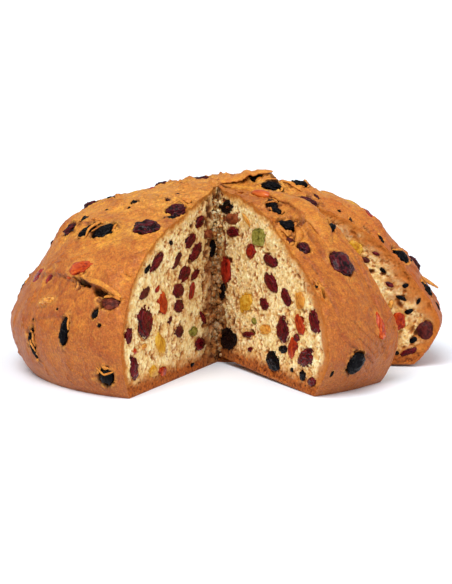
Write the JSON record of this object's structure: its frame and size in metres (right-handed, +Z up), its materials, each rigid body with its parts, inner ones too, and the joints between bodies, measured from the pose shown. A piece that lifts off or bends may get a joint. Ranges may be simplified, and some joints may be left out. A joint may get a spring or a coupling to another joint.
{
  "type": "pandolce fruit bread",
  "caption": "Round domed fruit bread with a wedge cut from its front and a loose slice beside the cut; raisins, candied peel and nut in the crust and cut faces.",
  "frame": {"origin": "centre of the bounding box, at the level of the surface the bread stands on", "axes": "+Z up, the wedge-shaped notch faces -Y, +X to the right seen from the front"},
  "size_m": [0.2258, 0.2074, 0.0989],
  "materials": {
    "crust": "baked crust, satin",
    "crust_slice": "baked crust, satin",
    "raisin": "wrinkled dried fruit, glossy",
    "raisin_burnt": "scorched dried fruit, satin",
    "raisin_brown": "brown dried fruit, satin",
    "candied_orange": "candied peel, glossy",
    "candied_yellow": "candied peel, glossy",
    "candied_red": "candied fruit, glossy",
    "candied_green": "candied fruit, glossy",
    "nut": "glazed nut, glossy"
  },
  "bodies": {
    "root": {"loaf": "crust", "slice": "crust_slice", "raisin_large": "raisin", "raisin_shoulder": "raisin", "raisin_split_upper": "raisin_burnt", "raisin_split_lower": "raisin_burnt", "peel_left": "candied_orange", "raisin_hollow": "raisin_brown", "raisin_low_left": "raisin_burnt", "raisin_foot_left": "raisin_burnt", "raisin_corner": "raisin_burnt", "raisin_notch_top": "raisin", "raisin_ridge": "raisin", "raisin_crown": "raisin_burnt", "raisin_flap": "raisin_burnt", "raisin_blister": "raisin_burnt", "raisin_pair": "raisin_burnt", "raisin_edge_right": "raisin", "raisin_low_right": "raisin_burnt", "cherry_right": "candied_red", "slice_raisin_large": "raisin", "slice_raisin_round": "raisin_burnt", "slice_peel": "candied_orange", "slice_raisin_pocket": "raisin_burnt", "slice_raisin_red": "raisin", "slice_nut": "nut", "cut_l_raisin_large": "raisin", "cut_l_orange": "candied_orange", "cut_l_raisin_upper": "raisin", "cut_l_raisin_long": "raisin", "cut_l_raisin_dark": "raisin", "cut_l_raisin_middle": "raisin", "cut_l_raisin_small": "raisin", "cut_l_yellow": "candied_yellow", "cut_l_raisin_foot": "raisin", "cut_l_raisin_inner": "raisin", "cut_r_yellow": "candied_yellow", "cut_r_raisin_large": "raisin", "cut_r_raisin_red": "raisin", "cut_r_raisin_long": "raisin", "cut_r_raisin_upper": "raisin", "cut_r_green": "candied_green", "cut_r_raisin_foot": "raisin", "cut_r_raisin_low": "raisin_burnt", "cut_r_raisin_side": "raisin", "cut_r_orange": "candied_orange", "cut_r_orange_low": "candied_orange", "cut_c_yellow": "candied_yellow", "cut_c_orange": "candied_orange", "cut_c_date": "raisin_brown"}
  },
  "joints": []
}
